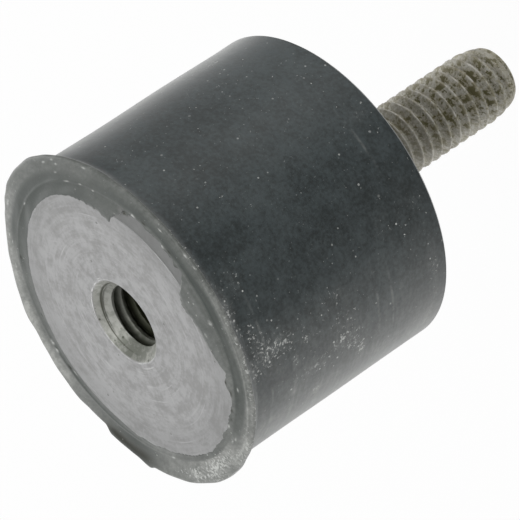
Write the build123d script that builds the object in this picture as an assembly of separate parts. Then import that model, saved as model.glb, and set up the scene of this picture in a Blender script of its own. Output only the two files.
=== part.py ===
from build123d import *
from math import radians, tan
import os

# Bobbin vibration mount: a rubber cylinder moulded between a tapped steel insert
# and a steel disc that carries a threaded stud. Sizes are in millimetres.
# +Z runs along the axis from the stud end to the tapped end. The origin is the
# centre of the face that the stud end seats on, so the stud lies below zero.

# Rubber moulding
body_diameter = 26.0
body_height = 20.7
shoulder_bevel = 0.2        # moulded edge at the stud end
skin_recess = 0.1           # how far the rubber skin lies under each steel face

# Flared lip round the tapped end
lip_reach = 0.65            # how far the lip stands out past the body
lip_drop = 0.2              # from the tapped face down to the upper edge of the lip
lip_edge = 0.25             # height of the lip's outer edge
flare_height = 0.7          # from the lip's edge down to where the flare meets the wall
flare_radius = 1.2          # hollow under the lip
witness_offset = 0.15       # from the flange's edge out to the fine ridge the mould leaves
witness_height = 0.08
witness_width = 0.35

# Steel at both ends
edge_cover = 1.0            # rubber outside the steel's edge
skin_width = 1.1            # how far the skin reaches in over the steel
step_depth = 0.3            # step round the bare land that the skin lies in

# Tapped insert, turned in one piece
flange_thickness = 2.0
boss_diameter = 10.0
boss_root_bevel = 0.6
boss_end_chamfer = 0.6
thread_core_diameter = 5.0  # hole that the thread is cut in
countersink_diameter = 7.0
hole_depth = 7.0            # to the end of the straight wall
drill_point_angle = 118.0
insert_end_wall = 1.0       # steel left behind the drill point

# Disc at the stud end
plate_thickness = 2.0

# Threaded stud, headed, with a neck pressed into the disc
thread_diameter = 5.87      # over the thread crests
stud_length = 18.0          # past the seating face
stud_end_chamfer = 0.45
neck_diameter = 7.0
head_diameter = 10.0
head_thickness = 1.6

# Places that follow from the sizes
body_radius = body_diameter / 2
lip_radius = body_radius + lip_reach
skin_top = body_height - skin_recess
lip_top = body_height - lip_drop
lip_bottom = lip_top - lip_edge
flare_start = lip_bottom - flare_height
steel_radius = body_radius - edge_cover
land_radius = steel_radius - skin_width
core_radius = thread_core_diameter / 2
countersink_depth = (countersink_diameter - thread_core_diameter) / 2
drill_point = core_radius / tan(radians(drill_point_angle / 2))
insert_length = hole_depth + drill_point + insert_end_wall
boss_end = body_height - insert_length
flange_back = body_height - flange_thickness
head_top = plate_thickness + head_thickness


def corner(sketch, radius, height):
    """The corner of an upright half section nearest to a radius and a height."""
    return sketch.vertices().sort_by_distance((radius, 0, height))[0]


def half_section(*points):
    """Closed outline in the XZ plane, from points of radius and height."""
    return Plane.XZ * make_face(Polyline(*points, close=True))


def turned(section):
    """A half section turned once round the axis."""
    return revolve(section, Axis.Z)


def steel_rim(land_z, step_z, back_z):
    """Rim of a steel disc: the land, the step that the rubber skin lies in, the edge."""
    return [
        (land_radius, land_z),
        (land_radius, step_z),
        (steel_radius, step_z),
        (steel_radius, back_z),
    ]


def make_insert_blank():
    """Flange and boss before the hole is drilled."""
    boss_radius = boss_diameter / 2
    section = half_section(
        (0, body_height),
        *steel_rim(body_height, body_height - step_depth, flange_back),
        (boss_radius, flange_back),
        (boss_radius, boss_end),
        (0, boss_end),
    )
    section = chamfer(corner(section, boss_radius, flange_back), boss_root_bevel)
    section = chamfer(corner(section, boss_radius, boss_end), boss_end_chamfer)
    return turned(section)


def make_tapped_hole():
    """Countersink, straight wall and the cone that the drill leaves."""
    return turned(half_section(
        (0, body_height),
        (countersink_diameter / 2, body_height),
        (core_radius, body_height - countersink_depth),
        (core_radius, body_height - hole_depth),
        (0, body_height - hole_depth - drill_point),
    ))


def make_plate_blank():
    """Disc at the stud end, with no hole yet."""
    return turned(half_section(
        (0, 0),
        *steel_rim(0, step_depth, plate_thickness),
        (0, plate_thickness),
    ))


def make_stud():
    """Flat head on the disc's inner face, neck in the disc, shank below the seat."""
    shank_radius = thread_diameter / 2
    neck_radius = neck_diameter / 2
    head_radius = head_diameter / 2
    section = half_section(
        (0, head_top),
        (head_radius, head_top),
        (head_radius, plate_thickness),
        (neck_radius, plate_thickness),
        (neck_radius, 0),
        (shank_radius, 0),
        (shank_radius, -stud_length),
        (0, -stud_length),
    )
    return turned(chamfer(corner(section, shank_radius, -stud_length), stud_end_chamfer))


def make_rubber(inserts):
    """Moulded body with its flared lip, shaped round the steel inserts."""
    witness_radius = steel_radius + witness_offset
    section = half_section(
        (0, skin_recess),
        (body_radius, skin_recess),
        (body_radius, flare_start),
        (lip_radius, lip_bottom),
        (lip_radius, lip_top),
        (witness_radius + witness_width / 2, skin_top),
        (witness_radius, skin_top + witness_height),
        (witness_radius - witness_width / 2, skin_top),
        (0, skin_top),
    )
    section = chamfer(corner(section, body_radius, skin_recess), shoulder_bevel)
    section = fillet(corner(section, body_radius, flare_start), flare_radius)
    return turned(section) - inserts


insert_blank = make_insert_blank()
threaded_stud = make_stud()
plate_blank = make_plate_blank()

parts = {
    "rubber_body": make_rubber([insert_blank, plate_blank, threaded_stud]),
    "tapped_insert": insert_blank - make_tapped_hole(),
    "stud_plate": plate_blank - threaded_stud,
    "threaded_stud": threaded_stud,
}

os.makedirs("parts", exist_ok=True)
for name, shape in parts.items():
    export_step(shape, f"parts/{name}.step")
    print(name, round(shape.volume, 1), "cubic mm")
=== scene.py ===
from math import radians

import bpy
import numpy as np
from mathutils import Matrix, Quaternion, Vector


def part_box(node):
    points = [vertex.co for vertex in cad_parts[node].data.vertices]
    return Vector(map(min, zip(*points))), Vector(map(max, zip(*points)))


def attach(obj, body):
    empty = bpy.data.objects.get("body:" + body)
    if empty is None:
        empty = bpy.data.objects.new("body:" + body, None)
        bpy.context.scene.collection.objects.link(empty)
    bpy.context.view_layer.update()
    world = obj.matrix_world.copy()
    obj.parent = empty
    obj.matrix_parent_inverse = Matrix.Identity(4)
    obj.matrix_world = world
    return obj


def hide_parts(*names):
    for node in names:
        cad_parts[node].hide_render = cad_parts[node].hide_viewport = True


# Bobbin vibration mount: moulded rubber between a tapped steel insert and a studded disc.
# Lengths are in millimetres and turn into metres where a mesh is made.
# Azimuth runs from +X towards +Y, and height is along +Z, from the seat at the stud end.

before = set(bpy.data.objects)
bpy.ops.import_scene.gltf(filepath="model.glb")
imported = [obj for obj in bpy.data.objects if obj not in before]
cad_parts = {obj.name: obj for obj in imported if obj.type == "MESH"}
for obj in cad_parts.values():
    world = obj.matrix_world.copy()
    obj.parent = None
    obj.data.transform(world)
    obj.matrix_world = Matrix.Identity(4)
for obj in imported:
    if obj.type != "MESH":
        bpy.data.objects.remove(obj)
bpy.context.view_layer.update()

mm = 0.001
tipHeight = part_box("threaded_stud")[0].z / mm
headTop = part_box("threaded_stud")[1].z / mm
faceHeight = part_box("tapped_insert")[1].z / mm
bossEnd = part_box("tapped_insert")[0].z / mm
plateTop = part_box("stud_plate")[1].z / mm
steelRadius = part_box("stud_plate")[1].x / mm
print("frame: face at", round(faceHeight, 2), "mm, stud tip at", round(tipHeight, 2), "mm")


# Surfaces

waveLevel = 3.5   # a sum of waves is divided by this, to come near its stated size
poleRadius = 0.6  # row round the pole that closes an end


def held(values):
    return np.clip(values, 0, 1)


def ease(share):
    # smooth step: 3 s^2 - 2 s^3, held between 0 and 1
    share = held(share)
    return share * share * (3 - 2 * share)


def bell(away, reach):
    # 1 at no distance, fading as exp(-(distance / reach)^2)
    return np.exp(-(away / reach) ** 2)


def turnsOf(columns):
    # azimuths of the columns, evenly spaced once round the axis
    return -np.pi + 2 * np.pi * np.arange(columns) / columns


def aroundCurve(azimuth, points):
    # eased curve through (degrees, value) points, which closes on itself after a turn
    degrees, values = np.array(points, float).T
    degrees = np.concatenate([degrees, [degrees[0] + 360]])
    values = np.concatenate([values, [values[0]]])
    asked = (np.degrees(azimuth) - degrees[0]) % 360 + degrees[0]
    place = np.clip(np.searchsorted(degrees, asked, side="right") - 1, 0, len(degrees) - 2)
    share = (asked - degrees[place]) / (degrees[place + 1] - degrees[place])
    return values[place] + (values[place + 1] - values[place]) * ease(share)


def ripple(azimuth, seed, counts, size, waveCount=24):
    # sum of cosine waves round the axis, each with a whole number of waves and a random start
    random = np.random.default_rng(seed)
    waves = random.integers(counts[0], counts[1], waveCount)
    starts = random.uniform(0, 2 * np.pi, waveCount)
    strengths = random.normal(size=waveCount)
    summed = np.tensordot(strengths, np.cos(np.multiply.outer(waves, azimuth) + starts[:, None]), 1)
    return size * summed / waveLevel


def waver(azimuth, height, seed, counts, lengths, size, waveCount=12):
    # sum of plane waves over azimuth and height, for a wall that isn't quite true
    random = np.random.default_rng(seed)
    waves = random.integers(counts[0], counts[1], waveCount)
    spans = random.uniform(lengths[0], lengths[1], waveCount)
    starts = random.uniform(0, 2 * np.pi, waveCount)
    total = np.zeros(np.broadcast(azimuth, height).shape)
    for wave, span, start in zip(waves, spans, starts):
        total = total + np.cos(wave * azimuth + 2 * np.pi * height / span + start)
    return size * total / waveLevel


def sweep(start, end, count):
    # rows from one edge towards the next: radius and height move evenly, the end is left out
    share = np.arange(count)[:, None] / count
    return start[0] + (end[0] - start[0]) * share, start[1] + (end[1] - start[1]) * share


def stacked(strips, columns):
    # strips of rows laid one after the other: radius and height for each row and column
    return [np.concatenate([np.broadcast_to(part, (len(part), columns)) for part in parts])
            for parts in zip(*strips)]


def edge(radius, height):
    # one row, from a radius and a height that are numbers or vary round the axis
    return np.atleast_2d(radius).astype(float), np.atleast_2d(height).astype(float)


def ringSurface(name, radius, height, poles, attributes, creaseAngle=38):
    # Point (row, column) = (radius cos azimuth, radius sin azimuth, height).
    # Rows run anticlockwise round the half section, and a pole on the axis closes each end.
    rows, columns = radius.shape
    azimuth = turnsOf(columns)
    ring = np.stack([radius * np.cos(azimuth), radius * np.sin(azimuth), height], axis=-1)
    ends = np.array([[0, 0, poles[0]], [0, 0, poles[1]]], float)
    points = np.concatenate([ring.reshape(-1, 3), ends]) * mm
    here = np.arange(rows * columns).reshape(rows, columns)
    beside = np.roll(here, -1, axis=1)
    quads = np.stack([here[:-1], beside[:-1], beside[1:], here[1:]], axis=-1).reshape(-1)
    first = np.full(columns, rows * columns)
    fans = np.stack([
        np.stack([first, beside[0], here[0]], axis=-1),
        np.stack([here[-1], beside[-1], first + 1], axis=-1),
    ]).reshape(-1)
    quadCount = (rows - 1) * columns
    fanCount = 2 * columns
    starts = np.concatenate([4 * np.arange(quadCount), 4 * quadCount + 3 * np.arange(fanCount)])

    mesh = bpy.data.meshes.new(name)
    mesh.vertices.add(len(points))
    mesh.vertices.foreach_set("co", points.astype(np.float32).ravel())
    mesh.loops.add(len(quads) + len(fans))
    mesh.loops.foreach_set("vertex_index", np.concatenate([quads, fans]).astype(np.int32))
    mesh.polygons.add(quadCount + fanCount)
    mesh.polygons.foreach_set("loop_start", starts.astype(np.int32))
    mesh.update(calc_edges=True)
    mesh.validate()
    mesh.polygons.foreach_set("use_smooth", np.ones(len(mesh.polygons), bool))
    mesh.set_sharp_from_angle(angle=radians(creaseAngle))
    for key, values in attributes.items():
        flat = np.concatenate([np.broadcast_to(values, radius.shape).ravel(), [0, 0]])
        layer = mesh.attributes.new(key, "FLOAT", "POINT")
        layer.data.foreach_set("value", flat.astype(np.float32))
    made = bpy.data.objects.new(name, mesh)
    bpy.context.scene.collection.objects.link(made)
    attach(made, "root")
    print(name, len(mesh.polygons), "faces")
    return made


# Material helpers: they add to the node tree that was started last

nodeTrees = []


def startTree(tree):
    tree.nodes.clear()
    nodeTrees.append(tree)


def makeNode(kind, inputs=None, **settings):
    tree = nodeTrees[-1]
    made = tree.nodes.new("ShaderNode" + kind)
    for key, value in settings.items():
        setattr(made, key, value)
    for key, value in (inputs or {}).items():
        if isinstance(value, bpy.types.NodeSocket):
            tree.links.new(value, made.inputs[key])
        else:
            made.inputs[key].default_value = value
    return made


def maths(operation, first, second=0.0, clamp=False):
    made = makeNode("Math", {0: first, 1: second}, operation=operation, use_clamp=clamp)
    return made.outputs[0]


def times(first, *others, clamp=False):
    for other in others:
        first = maths("MULTIPLY", first, other, clamp)
    return first


def weighted(*parts, clamp=False):
    # sum of parts, each a value or (value, weight); clamp holds the whole sum between 0 and 1
    terms = [times(*part) if isinstance(part, tuple) else part for part in parts]
    total = terms[0]
    for term in terms[1:-1]:
        total = maths("ADD", total, term)
    return maths("ADD", total, terms[-1], clamp)


def vectorMaths(operation, first, second=(0, 0, 0), output=0, **inputs):
    made = makeNode("VectorMath", {0: first, 1: second, **inputs}, operation=operation)
    return made.outputs[output]


def spread(value, low, high, toLow=0.0, toHigh=1.0):
    # value from low to high becomes toLow to toHigh, eased and held at both ends
    return makeNode("MapRange", {
        "Value": value, "From Min": low, "From Max": high, "To Min": toLow, "To Max": toHigh,
    }, interpolation_type="SMOOTHSTEP").outputs["Result"]


def blendColours(share, first, second):
    inputs = {0: share, 6: first, 7: second}
    for index in (6, 7):
        if isinstance(inputs[index], tuple):
            inputs[index] = (*inputs[index], 1.0)
    return makeNode("Mix", inputs, data_type="RGBA", clamp_factor=True).outputs[2]


def coats(colour, finish, *layers):
    # colours of a finish laid over a first one, each by its share
    for share, key in layers:
        colour = blendColours(share, colour, finish[key])
    return colour


def noise(vector, scale, detail=3.0, rough=0.55):
    inputs = {"Vector": vector, "Scale": scale, "Detail": detail, "Roughness": rough}
    return makeNode("TexNoise", inputs).outputs["Fac"]


def objectPlace():
    return makeNode("TexCoord").outputs["Object"]


def attributeOf(name):
    return makeNode("Attribute", attribute_name=name).outputs["Fac"]


def aroundPlace(place, roundScale, otherScale, byRadius):
    # (cos azimuth, sin azimuth) times one scale, with radius or height times another: no seam
    parts = makeNode("SeparateXYZ", {0: place})
    flat = makeNode("CombineXYZ", {0: parts.outputs[0], 1: parts.outputs[1]}).outputs[0]
    scaled = vectorMaths("SCALE", vectorMaths("NORMALIZE", flat), Scale=roundScale)
    across = vectorMaths("LENGTH", flat, output="Value") if byRadius else parts.outputs[2]
    lifted = makeNode("CombineXYZ", {2: times(across, otherScale)}).outputs[0]
    return vectorMaths("ADD", scaled, lifted)


def dots(place, sizes, share):
    # round specks: near the middle of a cell, in that share of the cells; sizes are the cell's
    # and the speck's, in metres
    cell, size = sizes
    cells = makeNode("TexVoronoi", {"Vector": place, "Scale": 1 / cell, "Randomness": 1.0})
    chance = makeNode("SeparateColor", {0: cells.outputs["Color"]})
    reach = times(spread(chance.outputs[1], 0.0, 1.0, 0.45, 1.25), size / cell)
    inside = maths("SUBTRACT", reach, cells.outputs["Distance"])
    disc = spread(inside, 0.0, 0.45 * size / cell)
    picked = maths("LESS_THAN", chance.outputs[0], share)
    shown = times(picked, spread(chance.outputs[2], 0.0, 1.0, 0.3, 1.0))
    return times(disc, shown)


def newMaterial(name):
    made = bpy.data.materials.new(name)
    made.use_nodes = True
    startTree(made.node_tree)
    return made


def finishMaterial(colour, roughness, bump, depth, metallic=0.0, specular=0.5, sheen=0.0):
    # one shader, with its bump given as a height and a depth in millimetres
    raised = makeNode("Bump", {"Height": bump, "Distance": depth * mm, "Strength": 1.0})
    shader = makeNode("BsdfPrincipled", {
        "Base Color": colour, "Roughness": roughness, "Metallic": metallic,
        "Specular IOR Level": specular, "Normal": raised.outputs[0],
        "Sheen Weight": sheen, "Sheen Roughness": 0.3,
    })
    makeNode("OutputMaterial", {"Surface": shader.outputs[0]})


# Rubber moulding

rubber = {
    "columns": 600,
    "rows": {"seat": 10, "wall": 62, "flare": 12, "lip": 9, "band": 22, "ridge": 9, "skin": 17},
    "radius": 13.0,
    "skinDrop": 0.05,            # skin below the steel face
    "skinLift": 0.10,            # rise where the skin laps over the face
    "landRadius": 11.05,         # bare steel face, which sits a little off the mould's centre
    "landShift": (-0.33, -0.30),
    "stepDepth": 0.3,            # step round each disc that the skin lies in
    "ridgeRadius": 11.77,
    "ridgeReach": (0.14, 0.22),  # close rows inside and outside the ridge's top
    "ridgeHeight": 0.018,
    "ridgeWidth": 0.13,
    "lipThickness": 0.34,
    "lipDrop": 0.30,             # face to the middle of the lip's edge
    "flareHeight": 0.9,
    "bevel": 0.18,
    "seatDrop": 0.1,             # skin below the seat at the stud end
    "seatSkin": 10.9,            # how far in the skin reaches there
    "rimDepth": 0.57,            # the rim's finish ends this far under the face
    # (azimuth, its spread, size) where the ridge is pushed out, and where it fades
    "ridgePush": [(-73, 14, 0.13)],
    "ridgeFade": [(-135, 26, 0.85), (50, 40, 0.5)],
    # (azimuth, its spread, radius, its spread, depth) of a hollow in the rim
    "rimHollow": [(127, 8, 13.25, 0.45, 0.10)],
    # (azimuth, radius) of the torn edge of the skin
    "tear": [
        (-180, 11.44), (-165, 11.30), (-150, 11.36), (-145, 11.46), (-142, 11.72), (-139, 11.40),
        (-134, 10.95), (-129, 11.26), (-126, 10.65), (-122, 10.20), (-117, 9.90), (-112, 9.76),
        (-107.5, 9.42), (-106, 9.48), (-101, 9.14), (-98.5, 8.94), (-96.5, 9.14), (-93, 9.66),
        (-91, 10.3), (-89, 11.0), (-86, 11.72), (-83, 11.26), (-81, 11.74), (-76, 11.54),
        (-74, 11.78), (-66, 11.62), (-64, 11.82), (-59, 11.78), (-57, 11.42), (-55, 11.54),
        (-52.5, 10.95), (-50.5, 10.6), (-48, 10.0), (-45.5, 9.45), (-43, 9.66), (-38, 9.92),
        (-30, 10.26), (-20, 10.60), (-8, 10.76), (12, 10.76), (40, 10.66), (60, 10.76),
        (90, 11.02), (120, 11.08), (132, 11.28), (150, 11.2),
    ],
    # (azimuth, radius) of the lip's edge: some of the flash is trimmed off
    "lip": [
        (-180, 13.82), (-165, 13.70), (-150, 13.74), (-120, 13.56), (-105, 13.48), (-90, 13.38),
        (-60, 13.36), (-30, 13.70), (0, 13.94), (15, 13.92), (21, 13.80), (28, 13.46),
        (40, 13.28), (55, 13.36), (71, 13.56), (77, 13.32), (82, 13.42), (91, 13.60),
        (102, 13.60), (108, 13.36), (115, 13.26), (118.5, 13.84), (130, 13.92), (136, 14.20),
        (139, 13.90), (150, 13.90),
    ],
    # (azimuth, share): dust and painted sheen on the wall; dust outside the ridge, and inside it
    "wallDustAndSheen": [
        (-180, 0.56), (-165, 0.52), (-157, 0.44), (-150, 0.30), (-142, 0.19), (-135, 0.13),
        (-127, 0.07), (-112, 0.02), (-85, 0.01), (-62, 0.03), (-50, 0.02), (-37, 0.01),
        (-28, 0.02), (-24, 0.05), (-19, 0.15), (-11, 0.40), (-1, 0.38), (18, 0.14), (40, 0.07),
        (90, 0.05), (140, 0.10),
    ],
    "rimDust": [
        (-180, 0.48), (-150, 0.34), (-120, 0.29), (-90, 0.17), (-60, 0.13), (-30, 0.24),
        (0, 0.24), (30, 0.53), (60, 0.88), (95, 0.67), (112, 0.27), (130, 0.02), (148, 0.31),
        (165, 0.45),
    ],
    # share of the outer dust that lies close to the ridge
    "nearRidge": [
        (-180, 1.40), (-165, 0.95), (-155, 0.40), (-140, 0.24), (-120, 0.27), (-105, 0.06),
        (-60, 0.25), (-38, 0.44), (0, 0.02), (30, 0.08), (48, 0.60), (75, 0.50), (105, 0.78),
        (150, 0.95),
    ],
    # (azimuth, its spread, share) where that dust starts further out
    "lateDust": [(-135, 24, 1.0), (-100, 10, 0.7), (10, 22, 0.6)],
    "lipEdgeHighlight": [                 # painted highlight: grey along the lip's rounded edge
        (-180, 0.10), (-150, 0.18), (-120, 0.30), (-85, 0.10), (0, 0.10), (60, 0.14), (150, 0.13),
    ],
    "innerDust": [
        (-180, 0.19), (-160, 0.25), (-120, 0.24), (-108, 0.15), (-90, 0.18), (-42, 0.13),
        (-28, 0.04), (5, 0.0), (30, 0.06), (60, 0.18), (78, 0.18), (90, 0.10), (125, 0.15),
        (150, 0.30),
    ],
    # (azimuth, its spread, radius, its spread, strength) of a fine fold along the lip
    "fold": [(-136, 26, 13.14, 0.09), (-100, 12, 13.18, 0.09, 0.4)],
    # (azimuth, further drop of the lip's edge)
    "lipDip": [(-180, 0.0), (-60, 0.0), (20, 0.0), (60, -0.08), (105, -0.08), (150, -0.06)],
    # (azimuth, its spread, depth below the face, its spread, strength) of specks on the wall
    "specks": [
        (-126, 5, 2.3, 0.9), (-125, 4, 4.2, 1.1, 0.9), (-129, 4, 1.3, 0.5, 0.8),
        (-117, 5, 2.0, 0.9, 0.6), (-103, 8, 1.0, 0.35, 0.9), (-99, 6, 2.4, 0.6, 0.5),
        (-110, 5, 0.9, 0.3, 0.7), (-141, 4, 10.2, 1.1, 1.25), (-149, 3, 11.7, 0.45, 1.3),
        (-145, 2, 11.0, 0.5, 1.1), (-135, 2.5, 5.2, 0.3), (-148, 1.5, 4.9, 0.35, 0.8),
        (-130, 1.5, 6.3, 0.5, 0.9), (-143, 4, 6.8, 1.6, 0.7), (-156, 2.4, 7.4, 0.28, 1.6),
        (-160, 1, 6.5, 0.2, 1.2), (-144, 2, 7.8, 0.15, 1.1), (-122, 2, 9.9, 0.6, 0.7),
        (-115, 10, 17.5, 1.8, 0.22), (-135, 8, 19.2, 0.5, 0.8), (-109, 4, 19.0, 0.8, 0.3),
        (-112, 5, 15.5, 0.9, 0.25), (-76, 3, 18.8, 0.8, 0.4), (-18, 4, 15.7, 1.2, 0.6),
        (-40, 4, 2.8, 0.6, 0.4), (-48, 24, 12.0, 8.0, 0.12), (-126, 7, 8.5, 2.2, 0.30),
        (-133, 3, 10.6, 0.8, 0.6), (-128, 14, 3.4, 2.6, 0.26), (-137, 12, 9.5, 3.6, 0.22),
    ],
    # (azimuth, its spread, depth, strength) of faint lines round the wall
    "lines": [
        (-132, 20, 2.7, 0.9), (-138, 22, 1.1, 0.7), (-142, 14, 13.5, 1.0), (-12, 10, 13.5, 0.8),
        (-140, 12, 14.9, 0.8), (-83, 9, 17.6, 0.6), (-148, 12, 4.9, 0.5),
    ],
    # (azimuth, its spread, radius, its spread, strength) of marks on the rim: whitish scuffs,
    # stretched skin, painted shade in the hollow, bright flecks, and painted shadows in nicks by
    # the tear
    "scuffs": [(-179, 16, 12.70, 0.95), (162, 13, 13.1, 0.65, 0.7), (-158, 8, 13.20, 0.32, 1.1)],
    "thinSkin": [(-53.5, 1.6, 11.4, 0.3, 0.5)],
    "shadeAndGrime": [(121, 6, 13.1, 0.62), (132, 7, 13.15, 0.65)],
    "flecks": [
        (-107.5, 0.9, 11.54, 0.17), (-113, 0.8, 10.35, 0.10), (-75, 1.0, 11.70, 0.12),
        (-84.5, 0.9, 11.1, 0.10), (-59.5, 1.0, 11.80, 0.12), (-72, 0.8, 12.90, 0.06),
        (-83.5, 0.7, 13.25, 0.06), (-88, 0.6, 13.30, 0.05), (-23.5, 1.2, 11.80, 0.06),
        (-14, 0.7, 13.35, 0.06), (-19.5, 0.7, 13.50, 0.06), (-21, 0.6, 13.15, 0.06),
        (-18.5, 0.6, 12.50, 0.06), (-36, 0.7, 13.40, 0.06), (-31.5, 0.7, 11.80, 0.05),
        (-38.5, 0.7, 11.65, 0.05), (23, 1.6, 13.20, 0.10), (14, 0.7, 11.70, 0.06),
        (39.5, 0.6, 12.45, 0.06), (37, 0.6, 12.80, 0.06), (50, 0.7, 12.55, 0.06),
        (81.5, 0.9, 11.75, 0.16), (85, 0.8, 11.8, 0.12), (96, 0.9, 11.4, 0.08),
        (152, 1.2, 11.8, 0.08), (-162.5, 0.9, 12.20, 0.07), (-160, 0.8, 12.35, 0.06),
        (-134.5, 0.7, 12.25, 0.06), (-156, 0.8, 11.50, 0.08),
    ],
    "tearShadows": [
        (-84, 0.8, 11.3, 0.22), (-55.7, 0.9, 11.45, 0.2), (44.5, 0.9, 11.66, 0.11),
        (93, 1.2, 11.55, 0.16), (134, 1.0, 11.15, 0.09), (-134, 1.4, 11.0, 0.12),
        (-121, 1.0, 10.3, 0.10), (70, 0.9, 11.3, 0.07), (-65, 1.2, 12.00, 0.12, 0.8),
        (-78.5, 1.2, 11.95, 0.10, 0.8), (-138, 1.4, 11.50, 0.18, 0.8),
        (-133.5, 1.2, 11.05, 0.16, 0.8), (-146.5, 1.0, 11.55, 0.14, 0.8),
        (-151.5, 1.0, 11.60, 0.12, 0.6),
    ],
}


def patches(azimuth, along, spots):
    # sum of soft spots, each exp(-(distance / spread)^2) times its strength, 1 if none given
    total = np.zeros(np.broadcast(azimuth, along).shape)
    for middle, width, place, reach, *strength in spots:
        turn = (np.degrees(azimuth) - middle + 180) % 360 - 180
        spot = np.exp(-(turn / width) ** 2 - ((along - place) / reach) ** 2)
        total = total + (strength or [1])[0] * spot
    return total


def aroundSpots(azimuth, spots):
    # the same sum where only the azimuth counts, from (azimuth, its spread, strength)
    rows = [(middle, width, 0, 1, strength) for middle, width, strength in spots]
    return patches(azimuth, 0, rows)


def landEdge(azimuth):
    # edge of the bare steel face: a circle off the axis, in polar form to first order
    shift = rubber["landShift"]
    return rubber["landRadius"] + shift[0] * np.cos(azimuth) + shift[1] * np.sin(azimuth)


def leftSide(azimuth):
    # 1 on the side where the skin meets the face smoothly, 0 where it's torn
    return ease((np.cos(azimuth - radians(55)) + 0.1) / 0.5)


def ridgeRadius(azimuth):
    # pushed out a little where the skin is torn away
    pushed = aroundSpots(azimuth, rubber["ridgePush"])
    waves = ripple(azimuth, 5, (2, 9), 0.02)
    return rubber["ridgeRadius"] + 0.03 * np.cos(azimuth) + pushed + waves


def tornEdge(azimuth):
    # the tear's own points, frayed by short waves, and always inside the ridge
    short = ripple(azimuth, 3, (25, 90), 0.04) + ripple(azimuth, 4, (90, 200), 0.03)
    frayed = aroundCurve(azimuth, rubber["tear"]) + short * (1 - 0.75 * leftSide(azimuth))
    return np.minimum(frayed, ridgeRadius(azimuth) - 0.16)


def skinTop(azimuth, radius):
    # level below the face, lifted where the skin laps over the land, with the ridge on it
    lap = ease((landEdge(azimuth) + 0.80 - radius) / 1.1)
    lift = rubber["skinLift"] * (1 - 0.3 * leftSide(azimuth))
    level = faceHeight - rubber["skinDrop"] + lift * lap
    level = level - patches(azimuth, radius, rubber["rimHollow"])
    ridge = rubber["ridgeHeight"] * (1 - aroundSpots(azimuth, rubber["ridgeFade"]))
    ridge = ridge * bell(radius - ridgeRadius(azimuth), rubber["ridgeWidth"])
    return level + ridge + waver(azimuth, radius, 11, (3, 30), (0.8, 3.0), 0.008)


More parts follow.
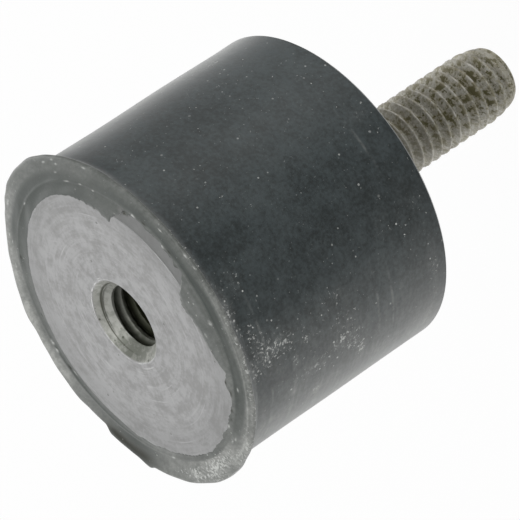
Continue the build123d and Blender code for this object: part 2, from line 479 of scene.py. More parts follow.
def makeRubber():
    # Half section from the stud's head, out along the disc, up the wall, round the lip and in
    # over the torn skin, then down the bonded faces to the boss. Each edge may vary round the axis.
    columns = rubber["columns"]
    rows = rubber["rows"]
    azimuth = turnsOf(columns)
    wall = rubber["radius"]
    torn = tornEdge(azimuth)
    land = np.maximum(landEdge(azimuth), torn)
    ridge = ridgeRadius(azimuth)
    lip = aroundCurve(azimuth, rubber["lip"]) + ripple(azimuth, 6, (6, 50), 0.02)
    half = rubber["lipThickness"] / 2
    lipMiddle = faceHeight - rubber["lipDrop"] - aroundCurve(azimuth, rubber["lipDip"])
    lipMiddle = lipMiddle + ripple(azimuth, 7, (2, 12), 0.02)
    flareStart = lipMiddle - half - rubber["flareHeight"]
    seat = rubber["seatDrop"]
    bevel = rubber["bevel"]
    step = rubber["stepDepth"]
    bossRadius = insert["bossRadius"]
    headRadius = stud["headRadius"]
    backHeight = faceHeight - insert["flangeThickness"]
    stepHeight = faceHeight - step
    seatSkin = rubber["seatSkin"] + ripple(azimuth, 8, (3, 60), 0.03)

    strips = [
        sweep((poleRadius, headTop), (headRadius, headTop), 2),
        sweep((headRadius, headTop), (headRadius, plateTop), 1),
        sweep((headRadius, plateTop), (steelRadius, plateTop), 1),
        sweep((steelRadius, plateTop), (steelRadius, step), 1),
        sweep((steelRadius, step), (seatSkin, step), 1),
        sweep((seatSkin, step), (seatSkin, seat), 2),
        sweep((seatSkin, seat), (wall - bevel, seat), rows["seat"]),
        sweep((wall - bevel, seat), (wall, seat + bevel), 3),
        sweep((wall, seat + bevel), (wall, flareStart), rows["wall"]),
    ]
    # flare: radius grows with the share to the power 2.4 as the height rises evenly
    share = (np.arange(rows["flare"]) / rows["flare"])[:, None]
    strips.append((
        wall + (lip - half - wall) * share ** 2.4,
        flareStart + (lipMiddle - half - flareStart) * share,
    ))
    # lip: half a turn of a small circle round its edge
    turn = np.linspace(-np.pi / 2, np.pi / 2, rows["lip"])[:, None]
    strips.append((lip - half + half * np.cos(turn), lipMiddle + half * np.sin(turn)))
    # outer band: in from the lip to the ridge, hollowed a little
    inward, outward = rubber["ridgeReach"]
    outer = ridge + outward
    share = (np.arange(1, rows["band"]) / rows["band"])[:, None]
    radius = (lip - half) + (outer - lip + half) * share
    rise = skinTop(azimuth, radius) - (lipMiddle + half)
    fold = patches(azimuth, radius, rubber["fold"])
    strips.append((radius, lipMiddle + half + rise * share ** 0.8 + 0.03 * fold))
    # ridge and inner skin, in to the torn edge, which thins where it is torn
    share = (np.arange(rows["ridge"]) / rows["ridge"])[:, None]
    radius = outer + (ridge - inward - outer) * share
    strips.append((radius, skinTop(azimuth, radius)))
    share = np.linspace(0, 1, rows["skin"])[:, None]
    radius = (ridge - inward) + (torn - ridge + inward) * share
    lowered = 0.05 * ease((share - 0.85) / 0.15) * (1 - leftSide(azimuth))
    strips.append((radius, skinTop(azimuth, radius) - lowered))
    # torn edge, then the faces that are bonded to the steel
    laps = torn < land - 0.001
    foot = np.where(laps, faceHeight + 0.004, stepHeight)
    strips += [
        edge(torn + 0.015, foot),
        edge(land + 0.02, foot),
        edge(land + 0.03, stepHeight),
        edge(steelRadius, stepHeight),
        edge(steelRadius, backHeight),
        edge(bossRadius, backHeight),
        edge(bossRadius, bossEnd),
        edge(poleRadius, bossEnd),
    ]
    radius, height = stacked(strips, columns)
    onWall = ease((radius - wall + 0.3) / 0.3) * ease((flareStart - height) / 1.0)
    onWall = onWall * ease((height - 0.6) / 1.0)
    radius = radius + onWall * waver(azimuth, height, 21, (2, 7), (8, 30), 0.02)

    # where the rim's finish and the wall's finish lie
    depth = faceHeight - height
    top = ease((rubber["rimDepth"] - depth) / 0.13) * ease((radius - 8.5) / 0.2)
    side = (1 - top) * ease((radius - wall + 0.4) / 0.3)
    degrees = np.degrees(azimuth)
    near = bell(degrees + 95, 45)
    specks = patches(azimuth, depth, rubber["specks"]) * side
    specks = specks + 0.35 * near * ease((depth - 0.05) / 0.3) * ease((1.0 - depth) / 0.5)
    marks = {
        name: top * patches(azimuth, radius, rubber[name])
        for name in ("scuffs", "flecks", "tearShadows", "thinSkin", "shadeAndGrime")
    }
    worn = bell(radius - lip, 0.3)
    frayed = worn * bell(degrees + 135, 30)
    lines = side * patches(azimuth, depth, [
        (turn, width, place, 0.5, strength) for turn, width, place, strength in rubber["lines"]
    ])
    # dust, with a painted sheen on the wall towards both outlines, and on the rim more outside the
    # ridge than inside
    outside = ease((radius - ridge - 0.05) / 0.2)
    share = aroundCurve(azimuth, rubber["nearRidge"])
    late = aroundSpots(azimuth, rubber["lateDust"])
    rising = share + (1 - share) * ease((radius - ridge - 0.3 - 0.66 * late) / (0.8 - 0.45 * late))
    rimDust = aroundCurve(azimuth, rubber["rimDust"]) * rising
    # painted sheen: dust colour on the wall towards both outlines stands for glancing reflections
    dustAndHighlights = side * aroundCurve(azimuth, rubber["wallDustAndSheen"])
    innerDust = aroundCurve(azimuth, rubber["innerDust"])
    dustAndHighlights = dustAndHighlights + top * (rimDust * outside + innerDust * (1 - outside))
    # painted highlight: dust colour along the lip's edge, for the light its rounded edge catches
    dustAndHighlights = dustAndHighlights + aroundCurve(azimuth, rubber["lipEdgeHighlight"]) * worn * ease((1.0 - depth) / 0.3)
    dustAndHighlights = dustAndHighlights + 0.10 * specks + 0.24 * top * patches(azimuth, radius, rubber["fold"])
    dustAndHighlights = dustAndHighlights + 0.12 * marks["scuffs"]
    # painted highlight: a light line along the ridge, strongest near azimuth 25
    ridgeHighlight = bell(radius - ridge, 0.07) * bell(degrees - 25, 45)
    dustAndHighlights = dustAndHighlights + 0.10 * top * ridgeHighlight
    return ringSurface("rubber_moulding", radius, height, (headTop, bossEnd), {
        "specks": held(specks),
        "scuff": held(0.9 * marks["scuffs"] + 0.6 * frayed),
        "flecks": held(marks["flecks"]),
        "thinSkin": held(marks["thinSkin"]),
        "lines": held(lines),
        "dustAndHighlights": held(dustAndHighlights),
        # painted shade in the rim's hollow, and painted shadows in the nicks along the torn edge
        "shadeAndGrime": held(marks["shadeAndGrime"] + 0.9 * marks["tearShadows"]),
        "rim": top,
    })


rubberFinish = {
    "dark": (0.0060, 0.0115, 0.0115),
    "light": (0.0250, 0.0380, 0.0408),
    "dustAndHighlights": (0.332, 0.337, 0.320),       # settled dust, and painted sheen and highlights
    "speck": (0.50, 0.51, 0.49),
    "faintSpeck": (0.13, 0.145, 0.14),
    "thin": (0.16, 0.16, 0.155),         # stretched skin, greyer
    # painted shade, for the rim's hollow and the torn edge
    "shadeAndGrime": (0.015, 0.016, 0.009),
    "rim": (0.020, 0.027, 0.021),        # duller round the face, where the mould's flash was cut
    "lineWidth": 0.11,
    "roughness": (0.34, 0.60),
    "bumpDepth": 0.010,
    "specular": 0.62,
    "sheen": 0.33,                       # fine dust that shows at a glancing angle
    "rimSpecular": 0.34,
    "shadeAndGrimeSpecular": 0.12,
    # (cell, size) of the specks, in metres
    "faintDots": (0.00036, 0.000050),
    "fineDots": (0.00062, 0.000080),
    "coarseDots": (0.00140, 0.000105),
    "largeDots": (0.00300, 0.000140),
    "crowdedDots": (0.00036, 0.000090),  # in the clusters and on scuffs
}


def linesRound(place):
    # thin lines round the wall: near each line's depth below the face, eased over its width
    height = makeNode("SeparateXYZ", {0: place}).outputs[2]
    width = rubberFinish["lineWidth"] * mm
    lines = []
    for depth in sorted({line[2] for line in rubber["lines"]}):
        away = maths("ABSOLUTE", maths("SUBTRACT", height, (faceHeight - depth) * mm))
        lines.append(spread(away, 0.2 * width, 1.6 * width, 1.0, 0.0))
    return times(weighted(*lines), attributeOf("lines"))


def rubberMaterial():
    made = newMaterial("satin_black_rubber")
    finish = rubberFinish
    place = objectPlace()
    drawnOut = vectorMaths("MULTIPLY", place, (1.0, 0.55, 1.0))
    mottle = noise(drawnOut, 900, 4.0, 0.65)
    clouds = noise(place, 120)
    grit = noise(drawnOut, 3600, 2.5, 0.6)
    shade = spread(weighted((mottle, 0.30), (clouds, 0.34), (grit, 0.36)), 0.36, 0.64)
    colour = blendColours(shade, finish["dark"], finish["light"])
    # dust and painted highlights, uneven at four scales, and the faint lines round the wall
    drifts = noise(place, 330, 2.0, 0.5)
    streaks = noise(aroundPlace(place, 3.0, 2600, False), 1.0, 3.0, 0.6)
    dustAndHighlights = times(
        attributeOf("dustAndHighlights"),
        spread(mottle, 0.30, 0.70, 0.70, 1.24),
        spread(grit, 0.30, 0.70, 0.84, 1.12),
        spread(drifts, 0.32, 0.68, 0.84, 1.16),
        spread(streaks, 0.34, 0.66, 0.86, 1.14),
    )
    drawn = times(linesRound(place), spread(mottle, 0.38, 0.62))
    dustAndHighlights = weighted(dustAndHighlights, (drawn, 0.32), (spread(clouds, 0.45, 0.75), 0.03), clamp=True)
    # specks: round dots everywhere, and frosting that thickens in clusters and on scuffs
    share = attributeOf("specks")
    scuff = attributeOf("scuff")
    faint = dots(place, finish["faintDots"], weighted((share, 0.5), 0.30))
    fine = dots(place, finish["fineDots"], weighted((share, 0.30), 0.36))
    coarse = dots(place, finish["coarseDots"], 0.24)
    large = dots(place, finish["largeDots"], 0.12)
    crowdedShare = weighted((share, 0.70), (scuff, 0.60), -0.04)
    crowded = dots(place, finish["crowdedDots"], crowdedShare)
    crowding = weighted((share, 0.17), (scuff, 0.26))
    frost = weighted(noise(place, 4300, 3.0, 0.62), crowding)
    patchy = spread(noise(drawnOut, 1200, 2.0, 0.6), 0.37, 0.57, 0.25, 1.15)
    frost = times(spread(frost, 0.68, 0.80), patchy)
    white = weighted(
        (fine, 0.55), (coarse, 0.6), (large, 0.7), (frost, 0.8), (crowded, 0.95), clamp=True,
    )
    flecks = times(attributeOf("flecks"), spread(grit, 0.35, 0.55, 0.35, 0.9))
    white = maths("MAXIMUM", white, flecks)
    rim, thin, shadeAndGrime = attributeOf("rim"), attributeOf("thinSkin"), attributeOf("shadeAndGrime")
    # the darkest coat here is painted shade, in the rim's hollow and along the tear
    colour = coats(
        colour, finish, (times(rim, 0.85), "rim"), (dustAndHighlights, "dustAndHighlights"), (thin, "thin"),
        (shadeAndGrime, "shadeAndGrime"), (times(faint, 0.4), "faintSpeck"), (white, "speck"),
    )
    dusty = weighted((white, 0.5), (dustAndHighlights, 0.5))
    roughness = spread(weighted(mottle, dusty), 0.3, 1.1, *finish["roughness"])
    bump = weighted((noise(place, 5200, 2.0, 0.6), 0.6), mottle, (white, 1.2))
    specular = spread(rim, 0.0, 1.0, finish["specular"], finish["rimSpecular"])
    specular = spread(shadeAndGrime, 0.0, 1.0, specular, finish["shadeAndGrimeSpecular"])
    depth, sheen = finish["bumpDepth"], finish["sheen"]
    finishMaterial(colour, roughness, bump, depth, specular=specular, sheen=sheen)
    return made


# Tapped insert

insert = {
    "columns": 320,
    "edgeBevel": 0.04,
    "flangeThickness": 2.0,
    "bossRadius": 5.0,
    "rootBevel": 0.6,
    "endChamfer": 0.6,
    "countersinkRadius": 3.5,
    "coreRadius": 2.5,
    "rootRadius": 3.0,
    "pitch": 1.0,
    "threadPhase": 0.474,        # height of a thread's crest on the +X side, within a pitch
    "holeDepth": 7.0,
    "threadDepth": 6.0,
    "drillPoint": 1.502,         # cone under the straight wall
    "mouthStep": 0.025,          # rows are closer together down to the mouth's depth
    "mouthDepth": 1.3,
    "rowStep": 0.045,
    "primerRadius": 10.25,       # primer shows outside this where the skin has come away
    "primerDrop": 0.05,
    "primerFrom": -92.0,
    "primerTo": -48.0,
    # (azimuth, its spread, strength) of the bore's sunny and dusky sides: painted light and shade
    "sunnySide": [(45, 45, 1.0)],
    "duskySide": [(135, 32, 1.0)],
    # (azimuth, its spread, radius, its spread, strength) of the mouth's burr, with a painted glint,
    # then of bright scratches by it, in the same colour, then of painted shade under the skin's
    # edge
    "burr": [(30, 42, 3.55, 0.035, 1.0), (150, 28, 3.55, 0.03, 0.6)],
    "scratches": [
        (170, 12, 3.95, 0.035, 0.6), (176, 16, 4.22, 0.03, 0.5), (64, 10, 3.75, 0.03, 0.5),
        (-5, 9, 3.72, 0.03, 0.5), (148, 9, 4.4, 0.04, 0.4),
    ],
    "skinEdgeShadow": [(-55.2, 1.3, 11.36, 0.16)],
}


def threadForm(phase, crestFlat, flank):
    # 0 on the crest and 1 at the root: flat crest, straight flank, flat root; phase is in pitches
    away = np.abs((phase + 0.5) % 1.0 - 0.5)
    return held((away - crestFlat / 2) / flank)


def makeInsert():
    # Half section from the boss's end, up the boss, out under the flange and in over the face,
    # then down the bore, whose radius follows a right-handed helix.
    columns = insert["columns"]
    azimuth = turnsOf(columns)
    degrees = np.degrees(azimuth)
    boss = insert["bossRadius"]
    back = faceHeight - insert["flangeThickness"]
    step = faceHeight - rubber["stepDepth"]
    land = np.maximum(landEdge(azimuth), tornEdge(azimuth)) + 0.03
    bevel = insert["edgeBevel"]
    primerEdge = insert["primerRadius"]
    inPrimer = ease((degrees - insert["primerFrom"]) / 1.5)
    inPrimer = inPrimer * ease((insert["primerTo"] - degrees) / 1.5)

    def faceLevel(radius):
        # flat, a hair lower in the primed band
        return faceHeight - insert["primerDrop"] * inPrimer * ease((radius - primerEdge) / 0.06)

    strips = [
        edge(poleRadius, bossEnd),
        edge(boss - insert["endChamfer"], bossEnd),
        edge(boss, bossEnd + insert["endChamfer"]),
        edge(boss, back - insert["rootBevel"]),
        edge(boss + insert["rootBevel"], back),
        edge(steelRadius, back),
        edge(steelRadius, step),
        edge(land, step),
        edge(land, faceLevel(land) - bevel),
        edge(land - bevel, faceLevel(land - bevel)),
    ]
    # face: out of the land's edge, close rows over the primer's edge, then in to the mouth
    share = np.linspace(0, 1, 14)[:, None]
    radius = (land - bevel - 0.02) + (primerEdge + 0.12 - land + bevel + 0.02) * share
    strips.append((radius, faceLevel(radius)))
    radius = np.linspace(primerEdge + 0.09, primerEdge - 0.06, 6)[:, None] + 0 * azimuth
    strips.append((radius, faceLevel(radius)))
    mouth = insert["countersinkRadius"] + 0 * azimuth
    share = np.linspace(1, 0, 44)[:, None]
    radius = (0.12 * share + 0.88 * share ** 3) * (primerEdge - 0.1 - mouth) + mouth
    burr = 0.012 * bell(radius - mouth - 0.05, 0.05)
    strips.append((radius, faceLevel(radius) + burr))

    # bore: the larger of the countersink cone and the thread, faded out below the thread
    wallDepth = np.concatenate([
        np.arange(insert["mouthStep"], insert["mouthDepth"], insert["mouthStep"]),
        np.arange(insert["mouthDepth"], insert["holeDepth"], insert["rowStep"]),
    ])[:, None]
    height = faceHeight - wallDepth + 0 * azimuth
    phase = (height - insert["threadPhase"]) / insert["pitch"] - azimuth / (2 * np.pi)
    form = threadForm(phase, 0.25, 0.3125)
    fade = ease((insert["threadDepth"] - wallDepth) / 0.5)
    thread = insert["coreRadius"] + (insert["rootRadius"] - insert["coreRadius"]) * form * fade
    strips.append((np.maximum(thread, mouth - wallDepth), height))
    strips.append(edge(insert["coreRadius"], faceHeight - insert["holeDepth"]))
    drillEnd = faceHeight - insert["holeDepth"] - insert["drillPoint"]
    strips.append(edge(0.25, drillEnd + 0.15))
    radius, height = stacked(strips, columns)

    inside = ease((insert["countersinkRadius"] + 0.05 - radius) / 0.1)
    inside = inside * ease((height - bossEnd - 1.0) / 0.1)
    depth = faceHeight - height
    # dirt and painted shade in a turn of the thread: it thins from below one crest (0) to the next
    # crest (1)
    along = (azimuth / (2 * np.pi) - (height - insert["threadPhase"]) / insert["pitch"]) % 1.0
    crestShadeAndDirt = ease((along - 0.10) / 0.04) * (1 - 0.55 * ease((along - 0.50) / 0.36))
    nextTurn = 0.55 * ease((along - 0.90) / 0.05) + 0.55 * ease((0.12 - along) / 0.03)
    below = ease((depth - 1.16 + 0.30 * ease((degrees - 40) / 120)) / 0.12)
    # painted shade: a dark line round the countersink, where the thread starts to cut into it
    lineWidth = 0.032 + 0.022 * ease((75 - degrees) / 40)
    firstShadeLine = bell(depth - 0.47 + 0.10 * np.sin(azimuth / 2) ** 2, lineWidth)
    firstShadeLine = firstShadeLine * ease((degrees + 25) / 20) * (1 - 0.6 * ease((degrees - 70) / 60))
    firstShadeLine = firstShadeLine * ease((160 - degrees) / 40)
    threadDirtAndShade = inside * held(np.maximum(crestShadeAndDirt, nextTurn) * below + 1.6 * firstShadeLine)
    onFace = ease((0.2 - depth) / 0.1) * (1 - inside)
    sunny = aroundSpots(azimuth, insert["sunnySide"])
    dusky = aroundSpots(azimuth, insert["duskySide"])
    bright = patches(azimuth, radius, insert["burr"])
    bright = bright + patches(azimuth, radius, insert["scratches"])
    # painted shade under the skin's torn edge
    skinEdgeShadow = onFace * patches(azimuth, radius, insert["skinEdgeShadow"])
    return ringSurface("tapped_insert_threaded", radius, height, (bossEnd, drillEnd), {
        "bore": inside * ease(depth / 0.08),
        "threadDirtAndShade": threadDirtAndShade,
        # painted shade: darker towards the bore's end
        "boreDepth": inside * held(depth / 4.0),
        # painted light and shade: one side of the bore lighter, the other darker
        "boreShade": held(0.5 - 0.5 * sunny + 0.5 * dusky),
        "primer": onFace * inPrimer * ease((radius - primerEdge + 0.02) / 0.05),
        "burr": held(bright) * ease((0.25 - depth) / 0.15),
        "skinEdgeShadow": held(skinEdgeShadow),
    })


steelFinish = {
    "face": (0.348, 0.349, 0.349),
    "faceDull": (0.257, 0.257, 0.254),
    "faceBright": (0.43, 0.43, 0.43),
    "primer": (0.160, 0.163, 0.160),
    # the bore's colours on its painted lit side and on its painted shaded side
    "bore": (0.310, 0.313, 0.287),
    "boreShaded": (0.118, 0.124, 0.105),
    # painted highlight on the mouth's burr and the scratches by it
    "glint": (0.75, 0.75, 0.74),
    # dirt spots, and painted shade in the thread, down the bore and under the skin's edge
    "shadeAndGrime": (0.022, 0.024, 0.010),
    "pit": (0.12, 0.12, 0.115),
    "pits": (0.0010, 0.00011),           # (cell, size) of small pits, in metres
    "boreSpots": (0.00048, 0.00012),
    "edgeDarkening": (7.8, 10.6, 0.26),        # radius from and to, and share of darkening towards the edge
    # (angle, noise scale along, and across) of straight scratches
    "marks": [(20, 330, 5200), (112, 300, 5600), (63, 420, 6200)],
    "roughness": (0.46, 0.58),
    "metallic": 0.85,
    "boreMetallic": 0.35,
    "bumpDepth": 0.006,
}


def straightMarks(place, angle, along, across):
    # thin straight scratches in one direction: noise drawn out along it
    inputs = {"Vector": place, "Angle": radians(angle)}
    turned = makeNode("VectorRotate", inputs, rotation_type="Z_AXIS")
    drawn = vectorMaths("MULTIPLY", turned.outputs[0], (along, across, across))
    return spread(noise(drawn, 1.0, 2.0, 0.5), 0.66, 0.76)


def turnedSteel(place):
    # turned face: fine rings by radius, clouds, scratches, pits; gives colour, roughness, height
    rings = noise(aroundPlace(place, 1.4, 5200, True), 1.0, 3.0, 0.6)
    broad = noise(aroundPlace(place, 5.0, 1100, True), 1.0, 3.0, 0.55)
    clouds = noise(place, 420, 4.0, 0.6)
    fine = noise(place, 3000, 3.0, 0.65)
    tone = spread(weighted((rings, 0.18), (broad, 0.44), (fine, 0.22), (clouds, 0.16)), 0.40, 0.58)
    colour = blendColours(tone, steelFinish["faceDull"], steelFinish["face"])
    scratched = times(spread(rings, 0.60, 0.72), spread(clouds, 0.48, 0.60))
    marks = None
    for mark in steelFinish["marks"]:
        drawn = straightMarks(place, *mark)
        marks = drawn if marks is None else maths("MAXIMUM", marks, drawn)
    scratched = maths("MAXIMUM", scratched, times(marks, 0.38))
    start, end, darkeningShare = steelFinish["edgeDarkening"]
    outward = vectorMaths("LENGTH", vectorMaths("MULTIPLY", place, (1, 1, 0)), output="Value")
    darkerOutward = spread(outward, start * mm, end * mm, 0.0, darkeningShare)
    pits = dots(place, steelFinish["pits"], 0.30)
    colour = coats(
        colour, steelFinish,
        (times(scratched, 0.7), "faceBright"), (darkerOutward, "primer"), (times(pits, 0.7), "pit"),
    )
    roughness = spread(clouds, 0.3, 0.7, *steelFinish["roughness"])
    height = weighted(maths("SUBTRACT", times(rings, 0.4), pits), (fine, 0.5))
    return colour, roughness, maths("SUBTRACT", height, times(marks, 0.5))


def insertMaterial():
    made = newMaterial("turned_steel_face")
    place = objectPlace()
    colour, roughness, height = turnedSteel(place)
    smears = noise(place, 1700, 4.0, 0.65)
    primer = times(attributeOf("primer"), spread(smears, 0.30, 0.60, 0.88, 1.0))
    colour = coats(colour, steelFinish, (primer, "primer"), (attributeOf("skinEdgeShadow"), "shadeAndGrime"))
    # bore: one side painted lighter and the other painted shaded, smeared, with spots, dirt and
    # painted shade in the thread, and painted darker towards its end
    bore = attributeOf("bore")
    smeared = spread(smears, 0.32, 0.68, -0.38, 0.38)
    shade = weighted(attributeOf("boreShade"), smeared, clamp=True)
    boreTone = blendColours(shade, steelFinish["bore"], steelFinish["boreShaded"])
    colour = blendColours(bore, colour, boreTone)
    spots = times(dots(place, steelFinish["boreSpots"], 0.50), bore, 0.85)
    # painted shade: darker towards the bore's end
    deep = spread(attributeOf("boreDepth"), 0.42, 0.68)
    # dirt and painted shade in the thread, and painted shade towards the bore's end
    dirtAndShade = times(weighted((attributeOf("threadDirtAndShade"), 0.95), deep), 0.95, clamp=True)
    # painted glint on the burr and the scratches beside it
    glint = times(attributeOf("burr"), spread(smears, 0.40, 0.60))
    colour = coats(colour, steelFinish, (spots, "shadeAndGrime"), (dirtAndShade, "shadeAndGrime"), (glint, "glint"))
    metallic = spread(bore, 0.0, 1.0, steelFinish["metallic"], steelFinish["boreMetallic"])
    finishMaterial(colour, roughness, height, steelFinish["bumpDepth"], metallic=metallic)
    return made


def plateMaterial():
    made = newMaterial("turned_steel_disc")
    colour, roughness, height = turnedSteel(objectPlace())
    depth = steelFinish["bumpDepth"]
    finishMaterial(colour, roughness, height, depth, metallic=steelFinish["metallic"])
    return made


# Threaded stud

stud = {
    "columns": 200,
    "crestRadius": 2.95,
    "rootRadius": 2.36,
    "endRadius": 2.28,           # flat at the tip, inside the rounding
    "endLength": 2.2,
    "pitch": 1.0,
    "crestHeight": -0.26,        # a crest's height on the side that faces -Y
    "rowStep": 0.04,
    "neckRadius": 3.5,
    "headRadius": 5.0,
    # stains: (height, spread) of the band along the stud, then (azimuth, its spread, strength)
    # of its near side, then (azimuth, its spread, height, its spread, strength) of what differs
    "stainBand": (-12, 6.5),
    "stainSide": [(-76, 56, 0.68)],
    "stainPatches": [(-118, 52, -3.6, 3.2, -0.6), (-118, 40, -15.5, 3.0, 0.45)],
    "lighterBand": (-3.0, 2.6),    # height and spread of the lighter threads by the body
}


def makeStud():
    # Half section from the tip up the thread, whose radius follows a right-handed helix and is
    # cut by the end's rounding, then the neck in the disc and the head.
    columns = stud["columns"]
    azimuth = turnsOf(columns)
    height = np.arange(tipHeight + 0.02, -0.01, stud["rowStep"])[:, None] + 0 * azimuth
    phase = (height - stud["crestHeight"]) / stud["pitch"] - (azimuth + np.pi / 2) / (2 * np.pi)
    form = threadForm(phase, 0.10, 0.38)
    nicked = ripple(azimuth, 41, (5, 60), 0.010) * np.cos(height * 2.3)
    crest = stud["crestRadius"] + nicked
    root = stud["rootRadius"]
    thread = crest + (root - crest) * form ** 0.9
    # rounded end: radius grows with the square root of the way back, and the thread fades into it
    back = np.clip((height - tipHeight) / stud["endLength"], 0, 4)
    rounded = stud["endRadius"] + (stud["crestRadius"] - stud["endRadius"]) * back ** 0.5
    radius = np.minimum(thread, rounded)
    worn = held((radius - root) / (stud["crestRadius"] - root))
    tip = sweep((0.3, tipHeight), (stud["endRadius"], tipHeight), 8)
    strips = [
        tip,
        (radius, height),
        edge(stud["neckRadius"], 0.0),
        edge(stud["neckRadius"], plateTop),
        edge(stud["headRadius"], plateTop),
        edge(stud["headRadius"], headTop),
        edge(poleRadius, headTop),
    ]
    radius, height = stacked(strips, columns)
    crestMask = np.zeros(radius.shape)
    crestMask[len(tip[0]):len(tip[0]) + len(worn)] = worn
    middle, reach = stud["stainBand"]
    stained = bell(height - middle, reach)
    stained = stained * (0.32 + aroundSpots(azimuth, stud["stainSide"]))
    stained = stained + patches(azimuth, height, stud["stainPatches"])
    middle, reach = stud["lighterBand"]
    return ringSurface("threaded_stud_cut", radius, height, (tipHeight, headTop), {
        "crest": crestMask,
        "stained": np.clip(1.05 * stained + 0.16, 0, 1.5),
        "lighterByBody": bell(height - middle, reach),
        # painted light: the rounded tip is coloured lighter
        "tip": ease((tipHeight + 1.6 - height) / 1.4),
    }, creaseAngle=60)


studFinish = {
    "flank": (0.42, 0.41, 0.365),
    "flankDull": (0.255, 0.243, 0.202),
    "crest": (0.50, 0.485, 0.44),
    "tan": (0.25, 0.224, 0.140),
    "stain": (0.102, 0.092, 0.043),
    # painted light on the rounded tip
    "tip": (0.38, 0.360, 0.29),
    "roughness": (0.45, 0.62),
    "metallic": 0.45,
    "bumpDepth": 0.02,
}


def studMaterial():
    made = newMaterial("dull_thread_steel")
    place = objectPlace()
    crest = attributeOf("crest")
    stained = attributeOf("stained")
    heavy = maths("MAXIMUM", maths("SUBTRACT", stained, 1.0), 0.0)
    stained = maths("MINIMUM", stained, 1.0)
    clouds = noise(place, 700, 4.0, 0.6)
    grit = noise(place, 4200, 3.0, 0.7)
    shade = spread(weighted((clouds, 0.4), (grit, 0.6)), 0.38, 0.62)
    colour = blendColours(shade, studFinish["flankDull"], studFinish["flank"])
    lighterByBody = times(attributeOf("lighterByBody"), 0.75)
    chipped = spread(noise(place, 1500, 3.0, 0.6), 0.42, 0.58, 0.0, 0.9)
    worn = times(spread(crest, 0.88, 1.0), chipped)
    # painted light: the rounded tip coloured lighter, for light it doesn't get
    tip = times(attributeOf("tip"), spread(clouds, 0.35, 0.60, 0.4, 0.9))
    # stains: a tan wash, then dark blots and small spots, least on the crests
    low = spread(crest, 1.0, 0.55, 0.35, 1.0)
    blots = weighted(noise(place, 1450, 3.5, 0.66), (heavy, 0.12))
    spots = noise(place, 3100, 3.0, 0.62)
    washed = times(spread(blots, 0.44, 0.60), stained, 0.75)
    stain = weighted(spread(blots, 0.53, 0.60), spread(spots, 0.55, 0.64), clamp=True)
    stain = times(stain, low, stained)
    colour = coats(
        colour, studFinish,
        (lighterByBody, "crest"), (worn, "crest"), (tip, "tip"), (washed, "tan"), (stain, "stain"),
    )
    roughness = spread(clouds, 0.3, 0.7, *studFinish["roughness"])
    bump = weighted((grit, 0.8), (clouds, 0.8))
    depth = studFinish["bumpDepth"]
    finishMaterial(colour, roughness, bump, depth, metallic=studFinish["metallic"])
    return made


# Pieces in place

rubberPiece = makeRubber()
rubberPiece.data.materials.append(rubberMaterial())
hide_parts("rubber_body")

insertPiece = makeInsert()
insertPiece.data.materials.append(insertMaterial())
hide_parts("tapped_insert")

studPiece = makeStud()
studPiece.data.materials.append(studMaterial())
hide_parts("threaded_stud")

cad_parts["stud_plate"].material_slots[0].material = plateMaterial()
print("pieces and finishes are on")


# Camera, light and floor

camera = {
    "place": (0.0, -312.58, 182.79),
    "aim": (-1.769, -0.879, 8.794),
    "turn": -123.854,            # degrees about its own line of sight
    "lens": 332.21,
    "sensor": 36.0,
    "clip": (0.01, 20.0),        # nearest and furthest, in metres
}

studio = {
    "floorHeight": -46.0,
    "floorSize": 3000.0,
    "ambient": 0.62,             # light on matte surfaces
    "floorTone": 0.86,
    "floorShow": 0.86,           # share of plain white in the floor; the rest takes shadow
    "dimFull": 0.97,             # nearness where a dim side has its full depth
    # (direction, nearness where it starts, depth) of two dim sides of the tent, for gloss alone
    "dimSides": [((-0.245, -0.838, -0.487), 0.35, 0.64), ((0.822, 0.293, -0.487), 0.76, 0.44)],
    # (name, place, size, power) of soft lamps
    "lamps": [
        ("lamp_high", (180, -220, 520), 420, 1.6),
        ("lamp_far", (260, 420, 160), 420, 0.8),
        ("lamp_side", (-290, 340, 40), 160, 0.32),
    ],
}


def putUp(name, data, place, rotation):
    made = bpy.data.objects.new(name, data)
    made.location = place
    made.rotation_mode = "QUATERNION"
    made.rotation_quaternion = rotation
    bpy.context.scene.collection.objects.link(made)
    return made


def makeCamera():
    data = bpy.data.cameras.new("camera")
    data.sensor_width = camera["sensor"]
    data.lens = camera["lens"]
    data.clip_start, data.clip_end = camera["clip"]
    place = Vector(camera["place"]) * mm
    sight = (Vector(camera["aim"]) * mm - place).to_track_quat("-Z", "Y")
    turned = sight @ Quaternion((0, 0, 1), radians(camera["turn"]))
    bpy.context.scene.camera = putUp("camera", data, place, turned)


def seenPlainly():
    # 1 for rays that show the background itself: camera, gloss and glass rays
    rays = makeNode("LightPath")
    shown = maths("MAXIMUM", rays.outputs["Is Camera Ray"], rays.outputs["Is Glossy Ray"])
    return maths("MAXIMUM", shown, rays.outputs["Is Transmission Ray"])


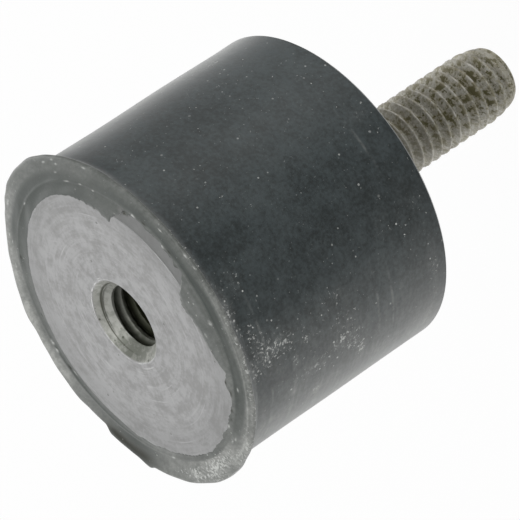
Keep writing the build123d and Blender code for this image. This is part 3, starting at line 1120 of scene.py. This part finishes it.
def makeWorld():
    world = bpy.data.worlds.new("soft_tent")
    world.use_nodes = True
    startTree(world.node_tree)
    direction = makeNode("TexCoord").outputs["Generated"]
    levels = []
    for side, start, depth in studio["dimSides"]:
        facing = vectorMaths("DOT_PRODUCT", direction, side, output="Value")
        levels.append(spread(facing, start, studio["dimFull"], 1.0, 1.0 - depth))
    glossy = makeNode("LightPath").outputs["Is Glossy Ray"]
    gloss = makeNode("Mix", {0: glossy, 2: 1.0, 3: times(*levels)}).outputs[0]
    strength = makeNode("Mix", {0: seenPlainly(), 2: studio["ambient"], 3: gloss}).outputs[0]
    sky = makeNode("Background", {"Color": (1, 1, 1, 1), "Strength": strength})
    makeNode("OutputWorld", {"Surface": sky.outputs[0]})
    bpy.context.scene.world = world


def makeLamp(name, place, size, power):
    data = bpy.data.lights.new(name, "AREA")
    data.shape = "DISK"
    data.size = size * mm
    data.energy = power
    putUp(name, data, Vector(place) * mm, (-Vector(place)).to_track_quat("-Z", "Y"))


def makeFloor():
    # one square, matte white with a plain white share; clear from below
    half = studio["floorSize"] / 2
    square = [(-half, -half), (half, -half), (half, half), (-half, half)]
    corners = [(x * mm, y * mm, studio["floorHeight"] * mm) for x, y in square]
    mesh = bpy.data.meshes.new("floor")
    mesh.from_pydata(corners, [], [(0, 1, 2, 3)])
    made = bpy.data.objects.new("floor", mesh)
    bpy.context.scene.collection.objects.link(made)
    material = newMaterial("white_floor")
    tone = studio["floorTone"]
    matte = makeNode("BsdfDiffuse", {"Color": (tone, tone, tone, 1)})
    white = makeNode("Emission", {"Color": (1, 1, 1, 1), "Strength": 1.0})
    share = times(seenPlainly(), studio["floorShow"])
    shown = makeNode("MixShader", {0: share, 1: matte.outputs[0], 2: white.outputs[0]})
    below = makeNode("NewGeometry").outputs["Backfacing"]
    clear = makeNode("BsdfTransparent")
    both = makeNode("MixShader", {0: below, 1: shown.outputs[0], 2: clear.outputs[0]})
    makeNode("OutputMaterial", {"Surface": both.outputs[0]})
    made.data.materials.append(material)
    made.visible_glossy = False  # gloss sees the tent all round instead


makeCamera()
makeWorld()
for lamp in studio["lamps"]:
    makeLamp(*lamp)
makeFloor()
bpy.context.scene.view_settings.view_transform = "Standard"
print("camera, lamps and floor are set")
